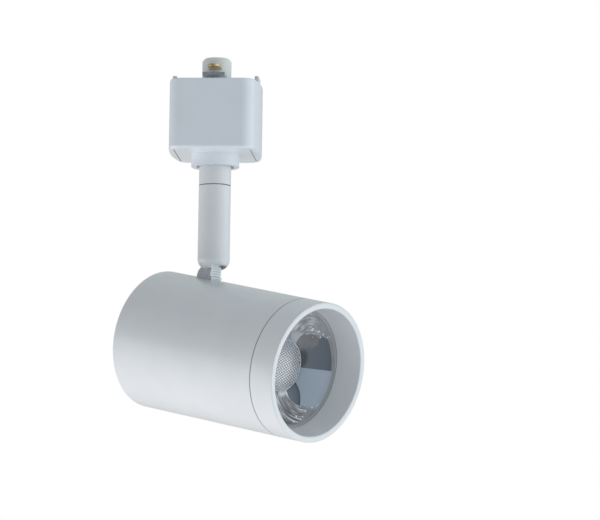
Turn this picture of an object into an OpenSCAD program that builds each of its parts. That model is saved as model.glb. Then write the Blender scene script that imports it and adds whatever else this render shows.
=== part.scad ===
// Track spotlight: a track adapter, a swivelling stem and a tilting cylinder head with a deep-set lens.
// Millimetres. The origin is on the stem's axis, in the plane where the adapter bears on the track.
// +X runs along the track, +Z points up into the track.

/* [Track adapter] */
// Length of the adapter along the track, across its bowed ends
adapter_l = 35.2; // [35:0.2:39]
// Width of the adapter across the track
adapter_w = 37; // [36.5:0.5:40]
// Height of the adapter below the track
adapter_h = 27; // [27:0.5:29]
// Radius of the adapter's upright corners
corner_r = 5; // [4.5:0.5:6]

/* [Stem] */
// Diameter of the stem
stem_d = 12.3; // [12.2:0.1:13]
// Outer diameter of the boss under the adapter
boss_d = 18.4; // [17.6:0.2:20]
// Depth of the boss below the adapter
boss_h = 4.6; // [3:0.2:6]
// Distance from the track to the swivel seam
seam_drop = 38.8; // [38:0.2:40]
// Distance from the track to the tilt pivot
pivot_drop = 66.5; // [66:0.5:75]
// Length of the stem below the tilt pivot
stem_tail = 4.9; // [4.6:0.1:5]

/* [Head] */
// Outer diameter of the head
head_d = 53; // [53:0.5:56]
// Distance from the tilt pivot to the rear face
head_rear = 19.4; // [19.4:0.2:22]
// Distance from the tilt pivot to the front rim
head_front = 61.9; // [61.8:0.1:66]
// Height of the tilt pivot above the head's skin
pivot_rise = 8.4; // [8.2:0.1:9]
// Length of the front ring
ring_l = 10.9; // [10.5:0.1:11.5]
// Thickness of the front ring at its rim
rim_wall = 2.3; // [2:0.1:2.6]
// Depth of the lens behind the front rim
lens_depth = 11.4; // [11.2:0.1:12]

/* [Pose at rest] */
// Angle of the head away from the track's direction
heading = 34.9; // [0:0.1:90]
// Angle of the head below the horizontal
nose_down = 12.8; // [0:0.1:85]

/* [Hidden] */
$fn = 64;

paint = "#eceef0";
steel = "#b4b7ba";
brass = "#c9a85a";
board = "#e8e4d8";
gap = 0.05;          // clearance between fixed pieces
eps = 1;             // overshoot of a cut

// Adapter
bow_r = 75;          // radius of the bowed ends
side_wall = 2.85;
face_wall = 3.5;
top_wall = 2;
cavity_l = adapter_l - 2 * side_wall;
cavity_w = adapter_w - 2 * face_wall;
cavity_r = 2.5;
base_t = 2.5;
base_top = -adapter_h + base_t;
base_gap = 0.2;
posts = [[-9.5, -10.5], [9.5, 10.5]];
post_r = 3;
post_bore_r = 1.25;
boss_wall = 1.9;

// Contact tower
tower_r = 5.6;
tower_top = 10.5;
tower_bottom = -9;
tower_flange_r = 8.2;
tower_flange_t = 1.8;
tower_core_r = 3.4;
hanger_half = [4.3, 12.2];
hanger_z = [2.2, 3.4];
hanger_tail_x = [3.5, 4.3];
hanger_tail_bottom = -9.35;
blade_z = [5.6, 6.4];
blade_reach = 11.1;
blade_w = 4.8;
tail_y = [0.7, 1.5];
tail_w = 3;
tail_bottom = -11;

// Lock key
ear_rise = 3.2;
ear_t = 1.45;
ear_w = 9;
ear_foot = -12.6;
tab_top = -9.2;
ear_x = cavity_l / 2 + 0.3;
key_travel = 3.4;
key_gap = 0.15;
yoke_z = [-11.6, -10];
yoke_w = 5.6;
yoke_ring_r = 6;
yoke_hole_r = 3.6;
spring_x = 8.5;
spring_r = 2;
spring_wire_r = 0.28;
spring_turns = 6;

// Swivel
stem_r = stem_d / 2;
nipple_r = 2.7;
nipple_bore_r = 1.8;
nipple_flange_r = 3.65;
nipple_flange_t = 1.25;
nut_t = 3;
washer_t = 0.6;
nut_z = base_top + washer_t;
nipple_top = nut_z + nut_t + 1.4;
groove_r = [4.45, 5.55];
groove_depth = 1;
stop_angle = 7;
pin_r = 0.45;
pin_orbit = 5;
arm_top = -seam_drop - 0.1;
arm_bore_r = 3.9;
bush_bore_r = nipple_r + 0.07;
bush_z = [arm_top - 4.3, arm_top - 0.3];
wave_t = 0.5;
flange_top = bush_z[0] - wave_t - gap;
arm_bore_bottom = -56;
arm_end_r = 4;

// Tilt knuckle, measured from the tilt pivot
eye_r = 3.1;
tongue_t = 6;
tongue_w = 5;
flare_top = -4.2;
flare_rear = [[-2.5, flare_top], [-3.8, -5.9], [-4.1, -7.7]];
flare_front = [[2.5, flare_top], [2.7, -7.2], [3.4, -7.3]];
slot_half = 3.45;
slot_roof = 4.4;
slot_front = 3.6;
notch_roof = -3.4;
notch_r = 1.7;
notch_drop = -notch_roof + notch_r;
notch_half = 5.2;
notch_x = 2.2;
pivot_r = 1.2;
pivot_bore_r = pivot_r + 0.05;
screw_head_r = 2.2;
screw_head_y = [4.5, 5.8];
friction_t = 0.4;
wire_slot_x = -3.7;
wire_slot_r = 1.1;
groove_w = 2.2;
groove_x = -1.6;
knuckle_screw_x = 0.4;
knuckle_screw_y = 1.7;
knuckle_screw_r = 0.8;
knuckle_head_r = 1.6;

// Head, stations along its axis measured from the tilt pivot
head_r = head_d / 2;
axis_drop = head_r + pivot_rise;
bore_r = head_r - 2.5;
front_bore_r = head_r - 1.6;
cap_bore_r = head_r - 1.3;
cap_x = [-head_rear + 0.6, -head_rear + 3.2];
seam_x = head_front - ring_l;
lens_x = head_front - lens_depth;
shoulder_x = 20.4;
sink_x = [4.5, shoulder_x, 25.4];
led_x = sink_x[2] + 0.2;
led_top = led_x + 1.4;
holder_top = led_top + 1.6;
lens_flange_t = 1.5;
lens_r = front_bore_r - 1.6;
wall_end_r = head_r - 3.8;
gasket_t = 0.6;
cup_x = [holder_top - 1.6, lens_x - lens_flange_t - gasket_t];
spigot_x = seam_x - 5.5;
tie_orbit = 17;
tie_angles = [0, 120, 240];
tie_r = 1.45;
board_x = [-8.8, -7.2];
board_r = 20;
terminal_top = 18;
plate_top = axis_drop - sqrt(pow(bore_r, 2) - 25) + 0.02;
plate_t = 1.2;

module in_arm() rotate([0, 0, -heading]) children();
module at_pivot() in_arm() translate([0, 0, -pivot_drop]) children();
module in_head() at_pivot() rotate([0, nose_down, 0]) children();
// Puts +Z along the head's axis, with local -X upwards
module on_axis() in_head() translate([0, 0, -axis_drop]) rotate([0, 90, 0]) children();

module rounded_rect(l, w, r) {
    square([l - 2 * r, w], center = true);
    square([l, w - 2 * r], center = true);
    for (x = [-1, 1], y = [-1, 1]) translate([x * (l / 2 - r), y * (w / 2 - r)]) circle(r);
}
// The adapter's outline: straight front and back, bowed ends, all tangent to the corners' arcs
module bowed_rect(l, w, r) {
    bow_x = l / 2 - bow_r;
    corner_x = bow_x + sqrt(pow(bow_r - r, 2) - pow(w / 2 - r, 2));
    square([2 * corner_x, w], center = true);
    for (x = [-corner_x, corner_x], y = [r - w / 2, w / 2 - r]) translate([x, y]) circle(r);
    intersection() {
        square([l + 2 * eps, (w - 2 * r) * bow_r / (bow_r - r)], center = true);
        translate([bow_x, 0]) circle(bow_r, $fn = 360);
        translate([-bow_x, 0]) circle(bow_r, $fn = 360);
    }
}
module block(l, w, z, r) translate([0, 0, z[0]]) linear_extrude(z[1] - z[0]) rounded_rect(l, w, r);
module rod(r, z) translate([0, 0, z[0]]) cylinder(r = r, h = z[1] - z[0]);
module tube(r_out, r_in, z) difference() {
    rod(r_out, z);
    rod(r_in, [z[0] - eps, z[1] + eps]);
}
module box(x, y, z) translate([x[0], y[0], z[0]]) cube([x[1] - x[0], y[1] - y[0], z[1] - z[0]]);

// A round tube swept along a list of points; across is any direction that the path never follows
function unit(v) = v / norm(v);
function heading_at(p, i) = unit(p[min(i + 1, len(p) - 1)] - p[max(i - 1, 0)]);
module sweep(p, r, across, sides = 8) {
    points = [for (i = [0:len(p) - 1])
        let (t = heading_at(p, i), n = unit(cross(across, t)), b = cross(t, n))
        for (k = [0:sides - 1]) p[i] + r * (cos(360 * k / sides) * n + sin(360 * k / sides) * b)];
    last = (len(p) - 1) * sides;
    walls = [for (i = [0:len(p) - 2], k = [0:sides - 1])
        let (a = i * sides + k, c = i * sides + (k + 1) % sides)
        for (face = [[a, a + sides, c + sides], [a, c + sides, c]]) face];
    polyhedron(points, concat(walls, [[for (k = [0:sides - 1]) k]],
        [[for (k = [sides - 1:-1:0]) last + k]]));
}
// A point on a smooth path from a to b that leaves and arrives along Z
function ease(a, b, t) = [a[0] + (b[0] - a[0]) * (3 * t * t - 2 * t * t * t),
    a[1] + (b[1] - a[1]) * (3 * t * t - 2 * t * t * t), a[2] + (b[2] - a[2]) * t];
function eased(a, b, steps = 8) = [for (i = [0:steps]) ease(a, b, i / steps)];

// Adapter

module adapter_housing() {
    color(paint) difference() {
        translate([0, 0, -adapter_h]) linear_extrude(adapter_h) bowed_rect(adapter_l, adapter_w, corner_r);
        block(cavity_l, cavity_w, [-adapter_h - eps, -top_wall], cavity_r);
        rod(tower_r + gap, [-top_wall - eps, eps]);
        for (p = posts) translate(p) {
            rod(post_bore_r + 0.15, [-top_wall - eps, eps]);
            rod(2.6, [-1, eps]);
        }
        for (side = [0, 180]) rotate(side) {
            box([cavity_l / 2 - eps, ear_x + ear_t + 0.1], [-ear_w / 2 - key_gap, ear_w / 2 + key_gap],
                [ear_foot - key_travel - 0.5, eps]);
        }
        box([-adapter_l, -ear_x], [-ear_w / 2 - key_gap, ear_w / 2 + key_gap],
            [ear_foot - key_travel - 0.5, tab_top + 0.2]);
    }
}

module adapter_base() {
    color(paint) difference() {
        union() {
            block(cavity_l - 2 * base_gap, cavity_w - 2 * base_gap, [-adapter_h, base_top], cavity_r - base_gap);
            rod(boss_d / 2, [-adapter_h - boss_h, -adapter_h + eps]);
            for (p = posts) translate(p) rod(post_r, [base_top - eps, -top_wall - gap]);
        }
        rod(boss_d / 2 - boss_wall, [-adapter_h - boss_h - eps, -adapter_h]);
        rod(nipple_r + gap, [-adapter_h - eps, base_top + eps]);
        for (p = posts) translate(p) rod(post_bore_r, [base_top + 2, 0]);
    }
}

module housing_screws() {
    color(steel) for (p = posts) translate(p) difference() {
        union() {
            rod(post_bore_r - gap, [-14, -0.9]);
            rod(2.3, [-1, -0.1]);
        }
        for (turn = [0, 90]) rotate(turn) box([-1.4, 1.4], [-0.3, 0.3], [-0.5, eps]);
    }
}

// One contact blade with its tail; grow is the clearance of the pocket that holds it
module blade(grow = 0) {
    inner = tail_y[0] - grow;
    reach = blade_reach + grow;
    z = [blade_z[0] - grow, blade_z[1] + grow];
    box([-blade_w / 2 - grow, blade_w / 2 + grow], [inner, reach], z);
    translate([0, reach, 0]) rod(blade_w / 2, z);
    box([-tail_w / 2 - grow, tail_w / 2 + grow], [inner, tail_y[1] + grow], [tail_bottom, z[1]]);
}

module contact_tower() {
    color("#f2f2ee") difference() {
        union() {
            rod(tower_r, [tower_bottom, tower_top - 1]);
            translate([0, 0, tower_top - 1]) cylinder(r1 = tower_r, r2 = tower_r - 1, h = 1);
            rod(tower_flange_r, [-top_wall - tower_flange_t, -top_wall]);
        }
        difference() {
            box([-hanger_half[0] - gap, hanger_half[0] + gap], [-tower_r - eps, tower_r + eps],
                [hanger_z[0] - gap, hanger_z[1] + gap]);
            rod(tower_core_r - gap, [0, tower_top]);
        }
        box([hanger_tail_x[0] - gap, hanger_tail_x[1] + gap], [-tail_w / 2 - gap, tail_w / 2 + gap],
            [tower_bottom - eps, hanger_z[0]]);
        for (side = [0, 180]) rotate(side) blade(gap);
    }
}

module hanger_bar() {
    color(steel) difference() {
        union() {
            box([-hanger_half[0], hanger_half[0]], [-hanger_half[1], hanger_half[1]], hanger_z);
            box(hanger_tail_x, [-tail_w / 2, tail_w / 2], [hanger_tail_bottom, hanger_z[1]]);
        }
        rod(tower_core_r, [hanger_z[0] - eps, hanger_z[1] + eps]);
    }
}

module live_contact() color(brass) rotate(180) blade();
module neutral_contact() color(brass) blade();

module lock_key() {
    color("#dfe1e3") {
        difference() {
            union() {
                box([-ear_x - 0.5, ear_x + 0.5], [-yoke_w / 2, yoke_w / 2], yoke_z);
                rod(yoke_ring_r, yoke_z);
            }
            rod(yoke_hole_r, [yoke_z[0] - eps, yoke_z[1] + eps]);
        }
        for (side = [0, 180]) rotate(side)
            box([ear_x, ear_x + ear_t], [-ear_w / 2, ear_w / 2], [ear_foot, ear_rise]);
        difference() {
            box([-adapter_l / 2 + 0.25, -ear_x], [-ear_w / 2, ear_w / 2], [ear_foot, tab_top]);
            for (z = [-11.8, -10.9, -10]) box([-adapter_l, -adapter_l / 2 + 0.6], [-3.5, 3.5], [z - 0.25, z + 0.25]);
        }
    }
}

module lock_springs() {
    height = yoke_z[0] - base_top - 2 * spring_wire_r;
    steps = spring_turns * 14;
    color(steel) for (x = [-spring_x, spring_x])
        sweep([for (i = [0:steps]) [x + spring_r * cos(360 * i / 14), spring_r * sin(360 * i / 14),
            base_top + spring_wire_r + height * i / steps]], spring_wire_r, [0, 0, 1], 6);
}

module swivel_collar() {
    color(paint) difference() {
        rod(stem_r, [-seam_drop, -adapter_h]);
        rod(nipple_r + gap, [-seam_drop - eps, -adapter_h + eps]);
        difference() {
            tube(groove_r[1], groove_r[0], [-seam_drop - eps, -seam_drop + groove_depth]);
            rotate(-stop_angle / 2) rotate_extrude(angle = stop_angle)
                translate([groove_r[0] - 0.2, -seam_drop]) square([groove_r[1] - groove_r[0] + 0.4, groove_depth + eps]);
        }
    }
}

module swivel_nipple() {
    color(steel) difference() {
        union() {
            rod(nipple_r, [flange_top, nipple_top]);
            rod(nipple_flange_r, [flange_top - nipple_flange_t, flange_top]);
        }
        rod(nipple_bore_r, [flange_top - nipple_flange_t - eps, nipple_top + eps]);
    }
}

module nipple_washer() color(steel) tube(4.6, nipple_r + gap, [base_top, nut_z]);

module nipple_nut() {
    color(brass) difference() {
        translate([0, 0, nut_z]) cylinder(r = 4.6, h = nut_t, $fn = 6);
        rod(nipple_r + gap, [nut_z - eps, nut_z + nut_t + eps]);
    }
}

module adapter_wires() {
    colors = ["#2b2b2b", "#e6e6e6", "#3f8f4a"];
    tops = [[0, -1.1, tail_bottom - 0.1], [0, 1.1, tail_bottom - 0.1],
        [hanger_tail_x[0] - 0.6, 0, tower_bottom - 0.1]];
    for (k = [0:2]) {
        slot = 0.65 * [cos(-90 - 120 * k), sin(-90 - 120 * k)];
        mouth = [slot[0], slot[1], nipple_top - 1];
        end = [slot[0], slot[1], flange_top - nipple_flange_t];
        color(colors[k]) sweep(concat(eased(tops[k], mouth), [end]), 0.5, [0, 1, 0]);
    }
}

// Arm, about its own heading

module arm_tube() {
    z_end = -pivot_drop - stem_tail;
    fillet = [for (a = [0:10:90]) [stem_r - arm_end_r + arm_end_r * cos(a), z_end + arm_end_r - arm_end_r * sin(a)]];
    color(paint) in_arm() difference() {
        rotate_extrude() polygon(concat([[0, arm_top], [stem_r - 0.25, arm_top], [stem_r, arm_top - 0.25]],
            fillet, [[0, z_end]]));
        rod(arm_bore_r, [arm_bore_bottom, arm_top + eps]);
        translate([wire_slot_x, 0, 0]) rod(wire_slot_r, [-pivot_drop, arm_bore_bottom + eps]);
        translate([-pin_orbit, 0, 0]) rod(pin_r, [arm_top - 3, arm_top + eps]);
        translate([0, 0, -pivot_drop]) {
            box([-stem_d, slot_front], [-slot_half, slot_half], [-stem_d, slot_roof]);
            box([0, stem_d], [-slot_half, slot_half], [-stem_d, notch_roof]);
            rotate([0, 90, 0]) translate([notch_drop, -notch_half + notch_r, 0]) rod(notch_r, [notch_x, stem_d]);
            box([notch_x, stem_d], [-notch_half + notch_r, 0], [-stem_d, notch_roof]);
            rotate([-90, 0, 0]) {
                rod(pivot_bore_r, [-screw_head_y[0] - 0.9, stem_r]);
                rod(screw_head_r + 0.1, [screw_head_y[0], stem_d]);
            }
        }
    }
}

module swivel_bush() color(brass) in_arm() tube(arm_bore_r, bush_bore_r, bush_z);

module wave_washer() color(steel) in_arm() tube(arm_bore_r - 0.1, bush_bore_r + 0.1, [bush_z[0] - wave_t, bush_z[0]]);

module pan_stop_pin() color(steel) in_arm() translate([-pin_orbit, 0, 0]) rod(pin_r, [arm_top - 3, arm_top + 0.8]);

module pivot_screw() {
    color(steel) at_pivot() rotate([-90, 0, 0]) difference() {
        union() {
            rod(pivot_r, [-screw_head_y[0] - 0.8, screw_head_y[0]]);
            rod(screw_head_r, screw_head_y);
        }
        translate([0, 0, screw_head_y[1] - 0.8]) cylinder(r = 1.15, h = 2, $fn = 6);
    }
}

module arm_wires() {
    for (y = [-0.5, 0.5]) color(y < 0 ? "#2b2b2b" : "#e6e6e6") in_arm()
        sweep(concat([[0, y, flange_top - nipple_flange_t - 0.2]],
            eased([0, y, -48], [wire_slot_x, y, arm_bore_bottom - 0.8]),
            [[wire_slot_x, y, slot_roof - pivot_drop]]), 0.42, [0, 1, 0]);
}

// Head

module knuckle() {
    foot = -pivot_rise - 0.5;
    outline = concat([[-tongue_w / 2, 0], [tongue_w / 2, 0]], flare_front,
        [[flare_front[2][0], foot], [flare_rear[2][0], foot]], [for (i = [2:-1:0]) flare_rear[i]]);
    color("#b9bcbf") difference() {
        union() {
            difference() {
                in_head() rotate([90, 0, 0]) linear_extrude(tongue_t, center = true) {
                    polygon(outline);
                    circle(eye_r);
                }
                on_axis() rod(head_r, [-head_rear, head_front]);
            }
            in_head() box([-tongue_w / 2, tongue_w / 2], [-tongue_t / 2, tongue_t / 2],
                [-plate_top, -pivot_rise + 0.5]);
        }
        in_head() {
            rotate([90, 0, 0]) rod(pivot_bore_r, [-stem_r, stem_r]);
            box([2 * flare_rear[2][0], groove_x], [-groove_w / 2, groove_w / 2], [flare_top - 0.3, -2.6]);
            box([-tongue_w / 2 - 0.2, groove_x], [-groove_w / 2, groove_w / 2], [-plate_top - eps, -2.6]);
            for (y = [-knuckle_screw_y, knuckle_screw_y]) translate([knuckle_screw_x, y, 0])
                rod(knuckle_screw_r, [-plate_top - eps, flare_top]);
        }
    }
}

module friction_washers() {
    color("#f4f1e6") for (y = [-tongue_t / 2 - friction_t, tongue_t / 2])
        in_head() rotate([-90, 0, 0]) tube(2.9, pivot_bore_r, [y, y + friction_t]);
}

module knuckle_plate() {
    color(steel) difference() {
        in_head() box([-4, 4], [-5, 5], [-plate_top - plate_t, -plate_top]);
        in_head() box([-tongue_w / 2 - 0.4, groove_x + 0.1], [-1.3, 1.3], [-plate_top - 2, 0]);
        in_head() for (y = [-knuckle_screw_y, knuckle_screw_y])
            translate([knuckle_screw_x, y, 0]) rod(knuckle_screw_r + 0.1, [-plate_top - 3, 0]);
    }
}

module knuckle_screws() {
    under = -plate_top - plate_t;
    color(steel) in_head() for (y = [-knuckle_screw_y, knuckle_screw_y])
        translate([knuckle_screw_x, y, 0]) {
            rod(knuckle_screw_r - gap, [under - 0.5, flare_top - 0.6]);
            rod(knuckle_head_r, [under - 1.3, under]);
        }
}

module head_shell() {
    edge = 0.4;
    color(paint) difference() {
        on_axis() rotate_extrude($fn = 96) polygon([[cap_bore_r, -head_rear], [head_r - edge, -head_rear],
            [head_r, -head_rear + edge], [head_r, seam_x - 0.15], [head_r - 0.2, seam_x],
            [front_bore_r, seam_x], [front_bore_r, shoulder_x], [bore_r, shoulder_x],
            [bore_r, cap_x[1]], [cap_bore_r, cap_x[1]]]);
        in_head() box([-tongue_w / 2 - gap, tongue_w / 2 + gap], [-tongue_t / 2 - gap, tongue_t / 2 + gap],
            [-plate_top - 2, 0]);
    }
}

module rear_cap() {
    color(paint) on_axis() difference() {
        rod(cap_bore_r - 0.1, cap_x);
        for (a = tie_angles) rotate(a) translate([tie_orbit, 0, 0]) {
            rod(tie_r + 0.15, [cap_x[0] - eps, cap_x[1] + eps]);
            rod(2.9, [cap_x[0] - eps, cap_x[0] + 1.2]);
        }
        for (row = [-2:2]) translate([4 * row, 0, 0]) rotate(90)
            block(18 - 3 * abs(row), 1.6, [cap_x[0] - eps, cap_x[1] + eps], 0.7);
    }
}

module tie_screws() {
    color(steel) on_axis() for (a = tie_angles) rotate(a) translate([tie_orbit, 0, 0]) difference() {
        union() {
            rod(tie_r, [cap_x[0] + 0.6, sink_x[0] + 8]);
            rod(2.7, [cap_x[0] - 0.3, cap_x[0] + 1.2]);
        }
        for (turn = [0, 90]) rotate(turn) box([-1.6, 1.6], [-0.35, 0.35], [cap_x[0] - eps, cap_x[0] + 0.5]);
    }
}

module spacers() {
    color("#e9e9e4") on_axis() for (a = tie_angles, z = [[cap_x[1], board_x[0]], [board_x[1], sink_x[0]]])
        rotate(a) translate([tie_orbit, 0, 0]) tube(2.8, tie_r + gap, z);
}

module driver_board() {
    color("#2f6b45") on_axis() difference() {
        rod(board_r, board_x);
        for (a = tie_angles) rotate(a) translate([tie_orbit, 0, 0]) rod(tie_r + 0.1, [board_x[0] - eps, board_x[1] + eps]);
    }
}

module driver_parts() {
    front = board_x[1];
    on_axis() {
        color("#f0c84a") box([-5, 6], [-6, 5], [front, front + 8.5]);
        color("#26323f") translate([2, 12, 0]) rod(4, [front, front + 9]);
        color("#26323f") translate([1, -13, 0]) rod(3.2, [front, front + 8]);
        color("#1d1d1f") box([8, 13], [-4, 3], [front, front + 1.6]);
        color("#f4f4f0") box([-terminal_top, -14], [-4, 4], [front, front + 4]);
        color("#8c3b2c") box([-12, -8], [-6, 6], [board_x[0] - 4, board_x[0]]);
    }
}

module driver_insulator() {
    color("#f3efe2") on_axis() difference() {
        rod(board_r + 1, [sink_x[0] - 0.8, sink_x[0] - 0.3]);
        for (a = tie_angles) rotate(a) translate([tie_orbit, 0, 0]) rod(2.9, [0, sink_x[0]]);
        led_wire_holes();
    }
}

module led_wire_holes() for (y = [-1, 1]) translate([-10, 2 * y, 0]) rod(0.8, [0, sink_x[2] + eps]);

module heat_sink() {
    color("#a9adb0") on_axis() difference() {
        union() {
            rod(front_bore_r - gap, [sink_x[1], sink_x[2]]);
            intersection() {
                rod(bore_r - 0.4, [sink_x[0], sink_x[1]]);
                union() {
                    for (k = [-5:5]) box([-head_r, head_r], [4 * k - 0.7, 4 * k + 0.7], [sink_x[0], sink_x[1]]);
                    for (a = tie_angles) rotate(a) translate([tie_orbit, 0, 0]) rod(3.2, [sink_x[0], sink_x[1]]);
                }
            }
        }
        for (a = tie_angles) rotate(a) translate([tie_orbit, 0, 0]) rod(tie_r + gap, [sink_x[0] - eps, sink_x[0] + 9]);
        for (a = [0, 180]) rotate(a) translate([0, 11.5, 0]) rod(1.05, [sink_x[1] - eps, sink_x[2] + eps]);
        led_wire_holes();
    }
}

module thermal_pad() color("#8f959b") on_axis() box([-8.4, 8.4], [-8.4, 8.4], [sink_x[2], led_x]);

module led_board() color(board) on_axis() box([-8.4, 8.4], [-8.4, 8.4], [led_x, led_top]);

module led_emitter() color("#f1d24a") on_axis() rod(4.5, [led_top, led_top + 0.5]);

module led_holder() {
    color("#f5f5f2") on_axis() difference() {
        rod(14.5, [sink_x[2], holder_top]);
        box([-8.5, 8.5], [-8.5, 8.5], [sink_x[2] - eps, led_top]);
        box([-11.5, -8], [-3, 3], [sink_x[2] - eps, led_top]);
        translate([0, 0, led_top - eps]) cylinder(r1 = 4.2, r2 = 8, h = holder_top - led_top + 2 * eps);
        for (a = [0, 180]) rotate(a) translate([0, 11.5, 0]) rod(1.15, [sink_x[2] - eps, holder_top + eps]);
    }
}

module led_holder_screws() {
    color(steel) on_axis() for (a = [0, 180]) rotate(a) translate([0, 11.5, 0]) {
        rod(1, [sink_x[1] + 1, holder_top + 0.2]);
        rod(1.9, [holder_top, holder_top + 1.2]);
    }
}

module lens_holder() {
    color("#f5f5f2") on_axis() difference() {
        rod(lens_r - 0.1, [sink_x[2], cup_x[1]]);
        rod(lens_r - 1.5, [sink_x[2] + 4, cup_x[1] + eps]);
        rod(14.7, [sink_x[2] - eps, sink_x[2] + 6]);
    }
}

module lens_gasket() color("#d8d8d4") on_axis() tube(lens_r - 0.1, lens_r - 1.3, [cup_x[1], cup_x[1] + gasket_t]);

// Half section of the lens: flange, reflecting wall, pocket over the emitter and beaded recess
module lens() {
    rim = lens_r - 1.7;
    foot_r = 7;
    foot_x = holder_top + 0.3;
    flange_x = lens_x - lens_flange_t;
    wall = [for (i = [0:9]) let (u = i / 9) [rim + (foot_r - rim) * u, flange_x + (foot_x - flange_x) * pow(u, 1.35)]];
    color("#dfe6ee", 0.6) on_axis() rotate_extrude($fn = 96) polygon(concat(
        [[0, lens_x - 6.4], [10.5, lens_x - 6.4], [10.8, lens_x - 0.05], [lens_r, lens_x - 0.05], [lens_r, flange_x]],
        wall, [[5.6, foot_x], [4.9, foot_x + 7], [0, foot_x + 8.5]]));
}

module front_ring() {
    edge = 0.3;
    color(paint) on_axis() rotate_extrude($fn = 96) polygon([[lens_r + 0.1, spigot_x],
        [front_bore_r - gap, spigot_x], [front_bore_r - gap, seam_x + 0.05], [head_r - 0.2, seam_x + 0.05],
        [head_r, seam_x + 0.2], [head_r, head_front - edge], [head_r - edge, head_front],
        [head_r - rim_wall + edge, head_front], [head_r - rim_wall, head_front - edge],
        [wall_end_r, lens_x], [lens_r + 0.1, lens_x]]);
}

module led_wires() {
    for (y = [-2, 2]) color(y < 0 ? "#2b2b2b" : "#c43a2e") on_axis()
        sweep(concat(eased([-8, 3 * y, board_x[1]], [-10, y, sink_x[0] - 1.5]),
            [[-10, y, sink_x[2] + 0.2], [-9.6, y, led_top - 0.3], [-9, y, led_top - 0.6]]), 0.5, [0, 1, 0]);
}

module head_wires() {
    x = -2.05;
    for (y = [-0.48, 0.48]) color(y < 0 ? "#2b2b2b" : "#e6e6e6") in_head()
        sweep([[x, y, -2.8], [x, y, -plate_top - plate_t - 0.2], [x - 0.4, y, -plate_top - plate_t - 1.4],
            [x - 1.6, y, -plate_top - plate_t - 2.2], [board_x[1] + 2.2, y, terminal_top - axis_drop + 1.3],
            [board_x[1] + 2, y, terminal_top - axis_drop + 0.7],
            [board_x[1] + 2, y, terminal_top - axis_drop + 0.06]], 0.4, [0, 1, 0]);
}

adapter_housing();
adapter_base();
housing_screws();
contact_tower();
hanger_bar();
live_contact();
neutral_contact();
lock_key();
lock_springs();
swivel_collar();
swivel_nipple();
nipple_washer();
nipple_nut();
adapter_wires();
arm_tube();
swivel_bush();
wave_washer();
pan_stop_pin();
pivot_screw();
arm_wires();
knuckle();
friction_washers();
knuckle_plate();
knuckle_screws();
head_shell();
rear_cap();
tie_screws();
spacers();
driver_board();
driver_parts();
driver_insulator();
heat_sink();
thermal_pad();
led_board();
led_emitter();
led_holder();
led_holder_screws();
lens_holder();
lens_gasket();
lens();
front_ring();
led_wires();
head_wires();
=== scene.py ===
"""Track spotlight: materials, fine detail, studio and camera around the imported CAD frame."""

import math

import bmesh
import bpy
from mathutils import Matrix, Vector


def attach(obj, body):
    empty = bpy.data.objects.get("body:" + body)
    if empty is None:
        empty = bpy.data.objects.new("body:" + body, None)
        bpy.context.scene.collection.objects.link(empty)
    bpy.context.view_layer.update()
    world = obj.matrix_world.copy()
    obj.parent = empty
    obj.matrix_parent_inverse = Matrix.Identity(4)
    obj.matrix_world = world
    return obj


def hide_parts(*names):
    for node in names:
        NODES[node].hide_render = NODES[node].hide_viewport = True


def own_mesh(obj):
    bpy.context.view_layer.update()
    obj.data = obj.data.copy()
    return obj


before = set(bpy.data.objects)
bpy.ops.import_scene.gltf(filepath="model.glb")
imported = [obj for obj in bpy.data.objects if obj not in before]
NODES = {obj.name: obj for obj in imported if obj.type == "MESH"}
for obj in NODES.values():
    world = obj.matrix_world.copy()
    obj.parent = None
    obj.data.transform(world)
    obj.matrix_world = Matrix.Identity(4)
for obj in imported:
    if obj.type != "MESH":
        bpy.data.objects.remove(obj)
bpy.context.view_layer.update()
MM = 0.001

# The head's own frame at rest: the tilt pivot, its axis's turn from +X and dip below level
HEADING, DIP = math.radians(34.9), math.radians(12.8)
PIVOT = Vector((0, 0, -66.5)) * MM
AXIS = Vector((math.cos(HEADING) * math.cos(DIP), -math.sin(HEADING) * math.cos(DIP), -math.sin(DIP)))
SIDE = Vector((math.sin(HEADING), math.cos(HEADING), 0))
UP = AXIS.cross(SIDE)
RIM = 61.9  # mm from the pivot to the front rim
AXIS_DROP = 34.9  # mm from the pivot down to the head's axis


# Camera


def make_camera():
    """A long lens a little below the part, looking slightly up."""
    yaw, pitch, roll = (math.radians(x) for x in (4.58, 8.06, 0.82))
    forward = Vector((-math.sin(yaw) * math.cos(pitch), math.cos(yaw) * math.cos(pitch), math.sin(pitch)))
    right = Vector((math.cos(yaw), math.sin(yaw), 0))
    up = right.cross(forward)
    across = right * math.cos(roll) + up * math.sin(roll)
    upright = up * math.cos(roll) - right * math.sin(roll)
    cam = bpy.data.objects.new("camera", bpy.data.cameras.new("camera"))
    cam.data.sensor_width = 36
    cam.data.lens = 259.65
    cam.data.clip_start, cam.data.clip_end = 0.05, 60
    turn = Matrix((across, upright, -forward)).transposed().to_4x4()
    cam.matrix_world = Matrix.Translation((0.1638, -1.6310, -0.2991)) @ turn
    bpy.context.scene.collection.objects.link(cam)
    bpy.context.scene.camera = cam


make_camera()


# Materials


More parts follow.
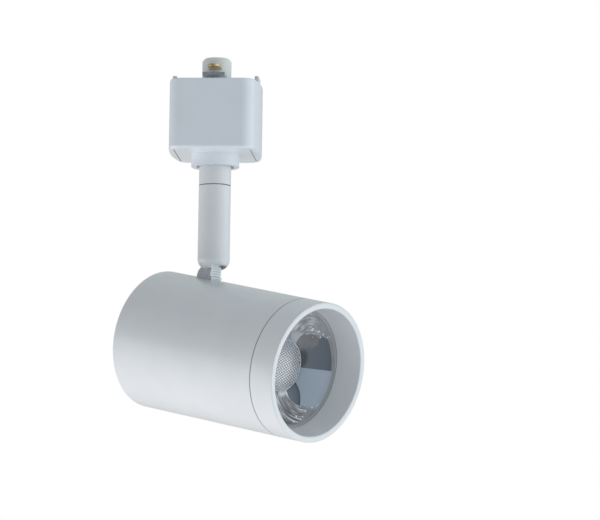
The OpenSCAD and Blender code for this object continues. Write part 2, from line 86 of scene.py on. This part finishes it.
class Nodes:
    """Small helper round one material's node tree."""

    def __init__(self, name):
        self.mat = bpy.data.materials.new(name)
        self.mat.use_nodes = True
        self.tree = self.mat.node_tree
        self.bsdf = self.tree.nodes["Principled BSDF"]

    def add(self, kind, **values):
        node = self.tree.nodes.new("ShaderNode" + kind)
        for key, value in values.items():
            if key in node.inputs:
                self.put(node.inputs[key], value)
            else:
                setattr(node, key, value)
        return node

    def put(self, socket, value):
        if isinstance(value, bpy.types.NodeSocket):
            self.tree.links.new(value, socket)
        else:
            socket.default_value = value

    def math(self, operation, *values):
        node = self.add("Math", operation=operation)
        for i, value in enumerate(values):
            self.put(node.inputs[i], value)
        return node.outputs[0]

    def coords(self):
        """Object coordinates in millimetres."""
        node = self.add("VectorMath", operation="SCALE", Scale=1 / MM)
        self.put(node.inputs[0], self.add("TexCoord").outputs["Object"])
        return node.outputs[0]

    def noise(self, size_mm, detail=2.0, rough=0.5, where=None):
        node = self.add("TexNoise", Scale=1 / size_mm, Detail=detail, Roughness=rough)
        self.put(node.inputs["Vector"], where or self.coords())
        return node.outputs["Fac"]

    def ramp(self, fac, *stops):
        node = self.add("ValToRGB")
        self.put(node.inputs[0], fac)
        ramp = node.color_ramp
        while len(ramp.elements) < len(stops):
            ramp.elements.new(0.5)
        for element, (pos, colour) in zip(ramp.elements, stops):
            element.position = pos
            element.color = (*colour, 1) if len(colour) == 3 else colour
        return node.outputs[0]

    def mottle(self, colour, vary, pattern):
        """Base colour that wanders by the share vary either way."""
        dark, light = (tuple(min(1, c * (1 + k)) for c in colour) for k in (-vary, vary))
        self.put(self.bsdf.inputs["Base Color"], self.ramp(pattern, (0.3, dark), (0.7, light)))

    def parts(self, where):
        """The X, Y and Z of a vector."""
        node = self.add("SeparateXYZ")
        self.put(node.inputs[0], where)
        return node.outputs

    def spread(self, fac, low, high, to_low, to_high, kind="LINEAR"):
        """Maps the range low to high onto to_low to to_high, and holds it past the ends."""
        node = self.add("MapRange", interpolation_type=kind)
        for i, value in enumerate((fac, low, high, to_low, to_high)):
            self.put(node.inputs[i], value)
        return node.outputs[0]

    def distance(self, where, point):
        node = self.add("VectorMath", operation="DISTANCE")
        self.put(node.inputs[0], where)
        node.inputs[1].default_value = point
        return node.outputs["Value"]

    def dot(self, where, axis):
        node = self.add("VectorMath", operation="DOT_PRODUCT")
        self.put(node.inputs[0], where)
        node.inputs[1].default_value = axis
        return node.outputs["Value"]

    def bump(self, height, strength, distance_mm):
        node = self.add("Bump", Strength=strength, Distance=distance_mm * MM)
        self.put(node.inputs["Height"], height)
        self.put(self.bsdf.inputs["Normal"], node.outputs[0])
        return node

    def set(self, **values):
        for key, value in values.items():
            self.put(self.bsdf.inputs[key.replace("_", " ")], value)
        return self.mat


def coated(name, colour, rough, grain_mm, grain_depth, vary=0.02, coat=0.0):
    """Satin paint or moulded plastic: faint mottling, a fine skin texture and patches of other gloss."""
    n = Nodes(name)
    n.mottle(colour, vary, n.noise(14, 3))
    n.put(n.bsdf.inputs["Roughness"], n.spread(n.noise(5, 3), 0.3, 0.7, rough - 0.04, rough + 0.04))
    n.bump(n.noise(grain_mm, 4, 0.6), 0.25, grain_depth)
    if coat:
        n.set(Coat_Weight=coat, Coat_Roughness=0.28)
    return n


def darken(n, fade):
    """Multiplies a finish's colour by fade, as in the shadow of a fine joint."""
    mix = n.add("Mix", data_type="RGBA", blend_type="MULTIPLY")
    mix.inputs[0].default_value = 1
    n.put(mix.inputs[6], n.bsdf.inputs["Base Color"].links[0].from_socket)
    n.put(mix.inputs[7], fade)
    n.put(n.bsdf.inputs["Base Color"], mix.outputs[2])


def darken_seam(n, origin, axis, half_mm, level):
    """Painted shade: darkens the paint next to the plane through origin across the axis, along a seam."""
    along = n.math("SUBTRACT", n.dot(n.coords(), axis), Vector(axis).dot(origin) / MM)
    darken(n, n.spread(n.math("ABSOLUTE", along), half_mm, 0.6 * half_mm, 1.0, level))


# On the adapter, in mm: the gap round its base, just above its foot, and where its corners begin
BASE_GAP_X, FOOT_Z, OUTLINE_FLAT_Y = 14.65, -26.9, 13.5


def darken_base_gap(n, level):
    """Painted shade: darkens the moulding along the two sides of the gap round the adapter's base."""
    x, y, z = n.parts(n.coords())
    from_gap = n.math("ABSOLUTE", n.math("SUBTRACT", n.math("ABSOLUTE", x), BASE_GAP_X))
    beside = n.math("LESS_THAN", n.math("ABSOLUTE", y), OUTLINE_FLAT_Y)
    near = n.math("MULTIPLY", n.math("LESS_THAN", z, FOOT_Z), beside)
    darken(n, n.math("SUBTRACT", 1, n.math("MULTIPLY", near, n.spread(from_gap, 0.35, 0.15, 0.0, 1 - level))))


def metal(name, colour, rough, metallic=1.0, grain_mm=0.6, depth=0.01, vary=0.06):
    """Bare metal, slightly uneven in colour and polish."""
    n = Nodes(name)
    n.mottle(colour, vary, n.noise(3, 4))
    n.put(n.bsdf.inputs["Roughness"], n.spread(n.noise(1.4, 4), 0.3, 0.7, rough - 0.06, rough + 0.06))
    n.bump(n.noise(grain_mm, 3), 0.3, depth)
    n.set(Metallic=metallic)
    return n


RIB_PITCH, TONGUE_T = 0.95, 6.0  # mm, on the knuckle


def rib_shaded_casting():
    """The knuckle's pale metal, with fine ribs across the tongue's front and back drawn as stripes of painted
    shade.
    """
    n = metal("grey_casting", (0.50, 0.52, 0.54), 0.3, 0.85, grain_mm=1.5, depth=0.002, vary=0.03)
    along, aside = n.dot(n.coords(), UP), n.math("ABSOLUTE", n.dot(n.coords(), SIDE))
    rib_shade = n.math("SINE", n.math("MULTIPLY", along, 2 * math.pi / RIB_PITCH))
    on_face = n.math("LESS_THAN", aside, TONGUE_T / 2 - 0.1)
    strength = n.math("MULTIPLY", on_face, n.spread(aside, 1.6, 2.6, 0.15, 0.045))
    # Painted shade: dark stripes standing for the ribs' grooves, strongest across the middle of each face
    darken(n, n.math("SUBTRACT", 1, n.math("MULTIPLY", n.math("ADD", rib_shade, 1), strength)))
    return n.mat


MATERIALS = {
    "grey_casting": rib_shaded_casting(),
    "steel": metal("steel", (0.62, 0.63, 0.65), 0.28).mat,
    "brass": metal("brass", (0.80, 0.62, 0.30), 0.25).mat,
    "insulator": coated("insulator", (0.86, 0.86, 0.84), 0.3, 0.8, 0.01).mat,
    "key_plastic": coated("key_plastic", (0.74, 0.76, 0.78), 0.42, 0.5, 0.02).mat,
    "wire_jacket": coated("wire_jacket", (0.03, 0.03, 0.032), 0.4, 0.4, 0.01).mat,
    "nylon": coated("nylon", (0.85, 0.83, 0.77), 0.45, 0.6, 0.01).mat,
    "circuit_board": coated("circuit_board", (0.04, 0.18, 0.08), 0.35, 0.5, 0.01).mat,
    "driver_cases": coated("driver_cases", (0.62, 0.45, 0.08), 0.3, 0.8, 0.01).mat,
    "sink_metal": metal("sink_metal", (0.55, 0.56, 0.57), 0.38).mat,
    "pad": coated("pad", (0.42, 0.45, 0.48), 0.7, 0.4, 0.01).mat,
    "ceramic_board": coated("ceramic_board", (0.82, 0.81, 0.76), 0.35, 0.8, 0.01).mat,
    "phosphor": coated("phosphor", (0.85, 0.62, 0.10), 0.4, 0.5, 0.02).mat,
    "holder_plastic": coated("holder_plastic", (0.84, 0.84, 0.82), 0.4, 0.5, 0.01).mat,
    "gasket_rubber": coated("gasket_rubber", (0.60, 0.60, 0.58), 0.6, 0.4, 0.01).mat,
    "clear_acrylic": coated("clear_acrylic", (0.45, 0.48, 0.52), 0.1, 0.8, 0.01).mat,
}

RING_SEAM, STEM_SEAM = PIVOT + AXIS * (RIM - 10.9) * MM, Vector((0, 0, -38.85)) * MM
paint = coated("white_paint", (0.82, 0.825, 0.83), 0.34, 0.9, 0.02, coat=1.0)
# Painted shade along the seam between ring and shell, and along the swivel's seam
darken_seam(paint, RING_SEAM, AXIS, 0.25, 0.4)
darken_seam(paint, STEM_SEAM, (0, 0, 1), 0.2, 0.4)
MATERIALS["white_paint"] = paint.mat

moulding = coated("white_moulding", (0.82, 0.85, 0.89), 0.42, 0.45, 0.02, coat=1.0)
# Painted shade along the gap round the adapter's base
darken_base_gap(moulding, 0.45)
MATERIALS["white_moulding"] = moulding.mat

for node in NODES.values():
    name = node.data.materials[0].name.split(".")[0]
    node.data.materials[0] = MATERIALS[name]


# Softened edges on the CAD pieces that show


def soften(name, width_mm, share=lambda a, b: 1.0, segments=3, whole_faces=False):
    """Rounds a node's sharp edges, where its surface is split, by share(a, b) of the width."""
    node, mesh = NODES[name], NODES[name].data
    faces_of = {}
    for face in mesh.polygons:
        for key in face.edge_keys:
            faces_of[key] = faces_of.get(key, 0) + 1
    weights = mesh.attributes.new("bevel_weight_edge", "FLOAT", "EDGE")
    sharp = mesh.attributes.get("sharp_edge") or mesh.attributes.new("sharp_edge", "BOOLEAN", "EDGE")
    for edge in mesh.edges:
        if faces_of[edge.key] > 1:
            continue
        weight = share(*(mesh.vertices[i].co / MM for i in edge.vertices))
        weights.data[edge.index].value = weight
        sharp.data[edge.index].value = weight == 0
    node.modifiers.new("weld", "WELD").merge_threshold = 0.001 * MM
    if whole_faces:
        flat = node.modifiers.new("flat", "DECIMATE")
        flat.decimate_type, flat.angle_limit = "DISSOLVE", math.radians(0.4)
    bevel = node.modifiers.new("bevel", "BEVEL")
    bevel.width, bevel.segments, bevel.limit_method = width_mm * MM, segments, "WEIGHT"
    bevel.use_clamp_overlap = not whole_faces
    node.modifiers.new("normals", "WEIGHTED_NORMAL").keep_sharp = True


# The adapter's outline in mm: flat front and back, ends bowed about a far centre and round corners
OUTLINE_Y, BOW_CENTRE_X, BOW_R, CORNER_X, CORNER_R = 18.5, 57.4, 75.0, 11.29, 5.0


def on_outline(p):
    """Whether a point lies on the adapter's outer outline."""
    x, y = abs(p.x), abs(p.y)
    flat = y > OUTLINE_Y - 0.05
    bowed = math.hypot(x + BOW_CENTRE_X, y) > BOW_R - 0.05
    in_corner = x > CORNER_X - 0.1 and y > OUTLINE_FLAT_Y - 0.1
    return flat or bowed or (in_corner and math.hypot(x - CORNER_X, y - OUTLINE_FLAT_Y) > CORNER_R - 0.07)


def housing_edge(a, b):
    """Full width round the foot of the adapter, less along its top; none on the pockets."""
    if not (on_outline(a) and on_outline(b)):
        return 0.0
    if max(a.z, b.z) < FOOT_Z:
        return 1.0
    return 0.35 if min(a.z, b.z) > -0.1 else 0.0


def ring_edge(a, b):
    """Full width round the front rim, little elsewhere."""
    front = min((p * MM - PIVOT).dot(AXIS) for p in (a, b)) > (RIM - 0.2) * MM
    return 1.0 if front else 0.25


soften("adapter_housing", 1.1, housing_edge, 4, whole_faces=True)
soften("front_ring", 0.35, ring_edge)
for name, width in (("adapter_base", 0.2), ("swivel_collar", 0.12), ("arm_tube", 0.15), ("knuckle", 0.2),
                    ("rear_cap", 0.2), ("lock_key", 0.2), ("contact_tower", 0.3), ("hanger_bar", 0.15),
                    ("live_contact", 0.1), ("neutral_contact", 0.1)):
    soften(name, width)


# Helpers for the new pieces


EIGHTHS = [math.pi * k / 4 for k in range(8)]


def new_object(name, bm, material):
    """An object made from a bmesh, which is used up."""
    mesh = bpy.data.meshes.new(name)
    bm.to_mesh(mesh)
    bm.free()
    mesh.materials.append(material)
    made = bpy.data.objects.new(name, mesh)
    bpy.context.scene.collection.objects.link(made)
    return made


def bridge(bm, low, high):
    """Joins two rings of vertices, either of which may be a single point."""
    steps = max(len(low), len(high))
    for i in range(steps):
        j = (i + 1) % steps
        corners = [low[i % len(low)], low[j % len(low)], high[j % len(high)], high[i % len(high)]]
        bm.faces.new(list(dict.fromkeys(corners)))


# The lens in mm, in the head's frame: X along its axis from the tilt pivot, Y to the side, Z up

LENS_X = 50.45  # front face of the lens
LENS_LEAN = 1.185  # sideways lean of the lens's reflections per mm of depth, along the camera's line of sight
WELL_X, WELL_R = 44.1, 10.0  # floor of the well
BEAD_PITCH, BEAD_R, BEAD_H = 1.1, 0.54, 0.3
BRIGHTEST, UNEVEN = (WELL_X, -0.9, -1.4), 2.4  # where the painted highlight on the beads is brightest, and how far that wanders


def head_piece(name, bm, material):
    """A piece of the lens, smooth but for its sharp edges, set in the head's frame."""
    for face in bm.faces:
        face.smooth = True
    for edge in bm.edges:
        edge.smooth = edge.is_boundary or edge.calc_face_angle() < math.radians(35)
    piece = new_object(name, bm, material)
    origin = PIVOT - UP * AXIS_DROP * MM
    piece.matrix_world = Matrix.Translation(origin) @ Matrix((AXIS, SIDE, UP)).transposed().to_4x4()
    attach(piece, "head")
    return piece


def lathe(bm, profile, steps=144):
    """Turns (x, r) points in mm round the head's axis."""
    rings = []
    for x, r in profile:
        if r == 0:
            rings.append([bm.verts.new((x * MM, 0, 0))])
            continue
        turn = (2 * math.pi * i / steps for i in range(steps))
        rings.append([bm.verts.new((x * MM, r * MM * math.cos(a), r * MM * math.sin(a))) for a in turn])
    for low, high in zip(rings, rings[1:]):
        bridge(bm, low, high)


class LensPaint(Nodes):
    """What shows in the lens, laid out on its front face: u to the side and v up, in mm from the centre."""

    def __init__(self, name):
        super().__init__(name)
        x, y, self.v = self.parts(self.coords())
        depth = self.math("SUBTRACT", LENS_X, x)
        self.u = self.math("SUBTRACT", y, self.math("MULTIPLY", depth, LENS_LEAN))
        flat = self.add("CombineXYZ")
        self.put(flat.inputs[0], self.u)
        self.put(flat.inputs[1], self.v)
        self.flat = flat.outputs[0]
        self.colour = None

    def line(self, a, b, c):
        """a u + b v + c"""
        return self.math("MULTIPLY_ADD", self.u, a, self.math("MULTIPLY_ADD", self.v, b, c))

    def away(self, u, v, wobble=0.0):
        """Distance from (u, v), made uneven by wobble."""
        distance = self.distance(self.flat, (u, v, 0))
        if not wobble:
            return distance
        return self.math("MULTIPLY_ADD", self.noise(2.6, 3, where=self.flat), wobble, distance)

    def above(self, value, edge, soft=0.3):
        """A mask of 1 above the edge and 0 below it, with a soft step between."""
        return self.spread(value, edge - soft, edge + soft, 0, 1, "SMOOTHSTEP")

    def below(self, value, edge, soft=0.3):
        return self.math("SUBTRACT", 1, self.above(value, edge, soft))

    def both(self, *masks):
        total = masks[0]
        for mask in masks[1:]:
            total = self.math("MULTIPLY", total, mask)
        return total

    def lay(self, mask, colour):
        """Lays a colour over what is there, where the mask is 1."""
        mix = self.add("Mix", data_type="RGBA")
        self.put(mix.inputs[0], mask)
        self.put(mix.inputs[6], self.colour)
        self.put(mix.inputs[7], colour)
        self.colour = mix.outputs[2]

    def streaks(self, centre, across, along, *stops):
        """Uneven arcs about a point, so many mm wide, and so many mm long at 16 mm from it."""
        u, v = centre
        angle = self.math("ARCTAN2", self.math("SUBTRACT", self.v, v), self.math("SUBTRACT", self.u, u))
        where = self.add("CombineXYZ")
        self.put(where.inputs[0], self.math("MULTIPLY", self.away(u, v), 1 / across))
        self.put(where.inputs[1], self.math("MULTIPLY", angle, 16 / along))
        return self.ramp(self.noise(1, 2, 0.5, where.outputs[0]), *stops)

    def sparks(self, size_mm, radius, share):
        """Scattered spots on a grid so many mm wide, in the given share of its cells."""
        cells = self.add("TexVoronoi", Scale=1 / size_mm)
        self.put(cells.inputs["Vector"], self.flat)
        chosen = self.add("SeparateColor")
        self.put(chosen.inputs[0], cells.outputs["Color"])
        spot = self.below(cells.outputs["Distance"], radius, 0.05)
        return self.both(spot, self.below(chosen.outputs[0], share, 0.01))


# The lens sits deep in the ring, in weak light, so its colours are raised by this much
LENS_GAIN = (1.52, 1.48, 1.50)


def grey(level, blue=0.0):
    """Linear colour from a screen grey of 0 to 255, with blue raised and red lowered by so many steps."""
    steps = (-blue, 0, blue)
    linear = (((level + step) / 255) ** 2.2 * gain for step, gain in zip(steps, LENS_GAIN))
    return tuple(min(0.95, value) for value in linear) + (1,)


# What the lens reflects in the reference picture, laid on as colour
# Arcs that bound several of the reflections: centre and radius
OVAL_CENTRE, OVAL_R = (-3, -14), 9.3
INNER_CENTRE, INNER_R = (6, -3.5), 10.3


def lay_swirls(n):
    """Curved streaks of painted reflection at the upper left."""
    swirls = n.streaks((6, 6), 0.8, 6, (0.33, grey(108)), (0.5, grey(133, 3)), (0.66, grey(164, 3)))
    n.lay(n.both(n.above(n.v, 10.5, 1), n.below(n.u, 7, 3)), swirls)
    n.lay(n.below(n.away(-3, 11), 2.6, 1.2), grey(149, 1))


def lay_dark_sector(n, upper):
    """The dark upper sector of painted reflection, with a bowed left side and top."""
    over = n.math("MAXIMUM", n.math("SUBTRACT", n.v, 8.9), 0)
    left = n.math("MULTIPLY_ADD", n.math("MULTIPLY", over, over), -0.2, n.u)
    aside = n.math("SUBTRACT", n.u, 7)
    top = n.math("MULTIPLY_ADD", n.math("MULTIPLY", aside, aside), 0.012, n.v)
    outer = n.below(n.away(0, -1.6), 20.96, 0.25)
    sector = n.both(upper, n.above(left, -2.3, 0.3), n.below(top, 13.4, 0.35), outer)
    height = n.math("MULTIPLY_ADD", n.noise(5, 2, where=n.flat), 0.4, n.math("MULTIPLY", n.v, 0.05))
    n.lay(sector, n.ramp(height, (0.35, grey(70, 3)), (0.55, grey(96, 3)), (0.7, grey(105, 1)),
                         (0.85, grey(97, 2))))
    right = n.math("MAXIMUM", n.above(n.line(0.79, -1, 2.1), 0, 0.7), n.above(n.u, 10.4, 0.5))
    rising = n.math("MULTIPLY", n.v, 1 / 14)
    n.lay(n.both(sector, right), n.ramp(rising, (0.0, grey(92, 7)), (1.0, grey(88, 5))))
    n.lay(n.both(sector, n.below(n.away(2.5, 3.6), 3.4, 1.4)), grey(62, 2))


def lay_pale_sector(n, lower):
    """The pale lower sector of painted reflection, brighter to the right."""
    across = n.math("MULTIPLY", n.line(1, -0.25, 0), 1 / 22)
    n.lay(n.both(lower, n.above(n.v, -14.2, 1.2), n.above(n.away(*OVAL_CENTRE), OVAL_R, 0.2)),
          n.ramp(across, (0.1, grey(133, 11)), (0.9, grey(158, 9))))


def lay_fine_rings(n, radius):
    """Fine bright rings of painted reflection at the lower left, and a painted highlight beside them."""
    rings = n.streaks((8, 0.5), 0.7, 9, (0.36, grey(88)), (0.5, grey(122, 1)), (0.58, grey(150, 2)),
                      (0.66, grey(200, 2)))
    outside = n.above(n.away(*INNER_CENTRE), INNER_R, 0.15)
    n.lay(n.both(n.below(n.v, -8.4, 0.5), outside, n.below(n.u, 9, 2), n.below(radius, 21.4)), rings)
    n.lay(n.below(n.away(-5.2, -9.6, 1), 2.6, 0.8), grey(186, 5))


def lay_oval(n):
    """The dark oval of painted reflection beside the fine rings, darkest at its edge."""
    away = n.away(*OVAL_CENTRE)
    oval = n.both(n.below(away, OVAL_R + 0.15, 0.15), n.below(n.away(*INNER_CENTRE), INNER_R, 0.15))
    outward = n.math("MULTIPLY", away, 0.1)
    n.lay(oval, n.ramp(outward, (0.3, grey(104, 5)), (0.8, grey(88, 7)), (0.94, grey(68, 8))))


def lay_glints(n, radius):
    """Small painted glints in a band near the top and along the lower right edge."""
    band = n.both(n.above(n.v, 12.4, 0.4), n.below(n.v, 16, 0.4), n.above(n.u, 3, 0.5), n.below(n.u, 16, 0.5))
    foot = n.both(n.above(radius, 17.6), n.below(radius, 21), n.below(n.v, -11.5), n.above(n.u, 4))
    n.lay(n.both(n.math("MAXIMUM", band, foot), n.sparks(1.3, 0.27, 0.85)), grey(240))


def lay_flange(n, radius):
    """The flange's band, and a dark line of painted shade at its inner edge."""
    n.lay(n.above(radius, 21.75, 0.15), grey(122, 3))
    n.lay(n.above(radius, 22.05, 0.12), grey(148, 2))


# Painted reflections over the lens's face, on a mottled grey ground
def lens_material():
    n = LensPaint("lens_reflections")
    n.colour = n.ramp(n.noise(3, 3, where=n.flat), (0.3, grey(122, 2)), (0.7, grey(136, 2)))
    radius = n.away(0, 0)
    divide = n.line(-0.037, 1, -0.1)
    lay_swirls(n)
    lay_dark_sector(n, n.above(divide, 0, 0.15))
    lay_pale_sector(n, n.both(n.below(divide, 0, 0.15), n.below(radius, 21.7, 0.2)))
    lay_fine_rings(n, radius)
    lay_oval(n)
    lay_glints(n, radius)
    lay_flange(n, radius)
    n.put(n.bsdf.inputs["Base Color"], n.colour)
    n.bump(n.noise(1.2, 3), 0.2, 0.02)
    return n.set(Roughness=0.22, Specular_IOR_Level=0.25)


def bead_material():
    """A painted highlight, bright near the middle of the field and duller outwards, and painted shade in the
    gaps between the beads.
    """
    n = LensPaint("lens_beads")
    where = n.coords()
    from_middle = n.math("SUBTRACT", n.distance(where, BRIGHTEST), UNEVEN / 2)
    uneven = n.math("MULTIPLY_ADD", n.noise(1.5, 3), UNEVEN, from_middle)
    tone = n.ramp(n.math("MULTIPLY", uneven, 1 / WELL_R),
                  (0.1, grey(255)), (0.42, grey(230, 1)), (0.75, grey(172, 2)), (1.0, grey(156, 3)))
    height = n.spread(n.parts(where)[0], WELL_X, WELL_X + 0.8 * BEAD_H, 0.0, 1.0)
    n.colour = grey(120, 3)
    n.lay(height, tone)
    n.put(n.bsdf.inputs["Base Color"], n.colour)
    n.bump(n.noise(0.5, 2), 0.2, 0.01)
    return n.set(Roughness=0.2, Specular_IOR_Level=0.5)


def bead_point(bm, y, z, tilt, turn):
    """A point on the bead centred at (y, z), kept inside the well."""
    r, h = BEAD_R * math.sin(tilt), BEAD_H * math.cos(tilt)
    p, q = y + r * math.cos(turn), z + r * math.sin(turn)
    keep = min(1, WELL_R / math.hypot(p, q)) if r else 1
    return bm.verts.new(((WELL_X + 0.01 + h) * MM, p * keep * MM, q * keep * MM))


def add_bead(bm, y, z):
    rings = [[bead_point(bm, y, z, math.radians(tilt), turn) for turn in EIGHTHS] for tilt in (90, 55, 25)]
    rings.append([bead_point(bm, y, z, 0, 0)])
    for low, high in zip(rings, rings[1:]):
        bridge(bm, low, high)


def build_lens():
    """The clear optic: a flange, a funnel and the flat floor of the well."""
    bm = bmesh.new()
    lathe(bm, ((49.0, 21.6), (49.0, 23.25), (50.35, 23.25), (LENS_X, 23.15), (LENS_X, 21.8), (50.2, 21.65),
               (48.8, 19.2), (47.2, 16.2), (45.6, 13.2), (44.75, 10.7), (44.45, WELL_R + 0.05),
               (WELL_X, WELL_R), (WELL_X, 0)))
    piece = head_piece("lens_body", bm, lens_material())
    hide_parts("lens")


def build_beads():
    """Domed beads packed over the floor of the well, inside a low lip."""
    bm = bmesh.new()
    row_step = BEAD_PITCH * math.sqrt(3) / 2
    rows, columns = int(WELL_R / row_step), int(WELL_R / BEAD_PITCH) + 1
    for row in range(-rows, rows + 1):
        for column in range(-columns, columns + 1):
            y, z = row * row_step, (column + row % 2 / 2) * BEAD_PITCH
            if math.hypot(y, z) <= WELL_R - BEAD_R / 2:
                add_bead(bm, y, z)
    top = WELL_X + BEAD_H
    lathe(bm, ((WELL_X + 0.01, WELL_R - 0.45), (top, WELL_R - 0.3), (top, WELL_R - 0.02)))
    head_piece("lens_beads", bm, bead_material())


build_lens()
build_beads()


# The lock springs, as coils of round wire

SPRING_X, SPRING_R, SPRING_WIRE_R, SPRING_TURNS = 8.5, 2.0, 0.28, 6
SPRING_Z, KEY_STROKE = (-24.5, -11.62), 3.4
STEPS_PER_TURN = 28


def add_coil(bm, centre_x):
    """A closed helix of round wire, standing at centre_x."""
    low, high = SPRING_Z[0] + SPRING_WIRE_R, SPRING_Z[1] - SPRING_WIRE_R
    steps = SPRING_TURNS * STEPS_PER_TURN
    rings = []
    for i in range(steps + 1):
        a, z = 2 * math.pi * i / STEPS_PER_TURN, low + (high - low) * i / steps
        ring = []
        for t in EIGHTHS:
            r = SPRING_R + SPRING_WIRE_R * math.cos(t)
            corner = Vector((centre_x + r * math.cos(a), r * math.sin(a), z + SPRING_WIRE_R * math.sin(t)))
            ring.append(bm.verts.new(corner * MM))
        rings.append(ring)
    for one, two in zip(rings, rings[1:]):
        bridge(bm, one, two)
    bm.faces.new(rings[0][::-1])
    bm.faces.new(rings[-1])


def build_springs():
    bm = bmesh.new()
    for side in (-SPRING_X, SPRING_X):
        add_coil(bm, side)
    bmesh.ops.recalc_face_normals(bm, faces=bm.faces)
    for face in bm.faces:
        face.smooth = len(face.verts) == 4
    piece = new_object("lock_springs_coiled", bm, MATERIALS["steel"])
    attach(piece, "adapter")
    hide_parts("lock_springs")
    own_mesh(piece)


build_springs()


# Studio

# Soft light from round about. Each broad lobe: direction, colour and whether it stops sharply at the horizon.
# The colours are rounded from a least-squares fit to the tones of the reference picture.
LIGHTS = (
    ((1, 0, 0), (0.62, 0.67, 0.70), False), ((-1, 0, 0), (0.14, 0.15, 0.17), False),
    ((0, 1, 0), (0.24, 0.25, 0.24), False),
    ((0, 0, 1), (0.36, 0.40, 0.42), False), ((0, 0, -1), (0.55, 0.56, 0.57), False),
    ((1, -1, 1), (0.42, 0.47, 0.50), False), ((1, -1, -1), (0.48, 0.52, 0.55), False),
    ((-1, -1, -1), (0.34, 0.36, 0.38), False), ((1, 1, 1), (0.37, 0.40, 0.41), False),
    ((-1, 1, 1), (0.32, 0.34, 0.34), False), ((-1, 1, -1), (0.35, 0.34, 0.33), False),
    ((-1, 0, -0.35), (1.20, 1.23, 1.28), True), ((1, 0, -0.35), (0.59, 0.65, 0.68), True),
)
LOBE_SHARPNESS = 4
HORIZON = (0.02, 0.1)  # heights between which a cut lobe fades out


class WorldNodes(Nodes):
    """The same helper round the world's node tree."""

    def __init__(self, world):
        world.use_nodes = True
        self.tree = world.node_tree


def add_up_lobes(n):
    """Light by direction: the sum of every lobe's colour times its strength."""
    direction = n.add("TexCoord").outputs["Generated"]
    low = n.spread(n.parts(direction)[2], *HORIZON, 1, 0, "SMOOTHSTEP")
    total = (0, 0, 0)
    for towards, colour, cut in LIGHTS:
        facing = n.dot(direction, Vector(towards).normalized())
        lobe = n.math("EXPONENT", n.math("MULTIPLY_ADD", facing, LOBE_SHARPNESS, -LOBE_SHARPNESS))
        if cut:
            lobe = n.math("MULTIPLY", lobe, low)
        more = n.add("VectorMath", operation="MULTIPLY_ADD")
        for socket, value in zip(more.inputs, (lobe, colour, total)):
            n.put(socket, value)
        total = more.outputs[0]
    return total


def make_studio():
    """The lobes light the part, and the camera sees plain white behind it."""
    scene = bpy.context.scene
    scene.view_settings.view_transform = "Standard"
    scene.world = bpy.data.worlds.new("studio")
    n = WorldNodes(scene.world)
    light = n.tree.nodes["Background"]
    n.put(light.inputs["Color"], add_up_lobes(n))
    white = n.add("Background", Color=(1, 1, 1, 1))
    mix = n.add("MixShader")
    seen = n.add("LightPath").outputs["Is Camera Ray"]
    for socket, value in zip(mix.inputs, (seen, light.outputs[0], white.outputs[0])):
        n.put(socket, value)
    n.put(n.tree.nodes["World Output"].inputs[0], mix.outputs[0])


def make_floor():
    """A pale floor, far below the part as a ceiling fitting has it."""
    bm = bmesh.new()
    far_below = Matrix.Translation((0, 0, -2.0))
    bmesh.ops.create_circle(bm, cap_ends=True, segments=64, radius=30, matrix=far_below)
    n = Nodes("floor")
    n.mottle((0.82, 0.82, 0.82), 0.024, n.noise(60, 3))
    finish = n.set(Roughness=0.8, Emission_Color=(1, 1, 1, 1), Emission_Strength=0.3)
    floor = new_object("floor", bm, finish)
    floor.visible_diffuse = floor.visible_glossy = floor.visible_shadow = False


make_floor()
make_studio()
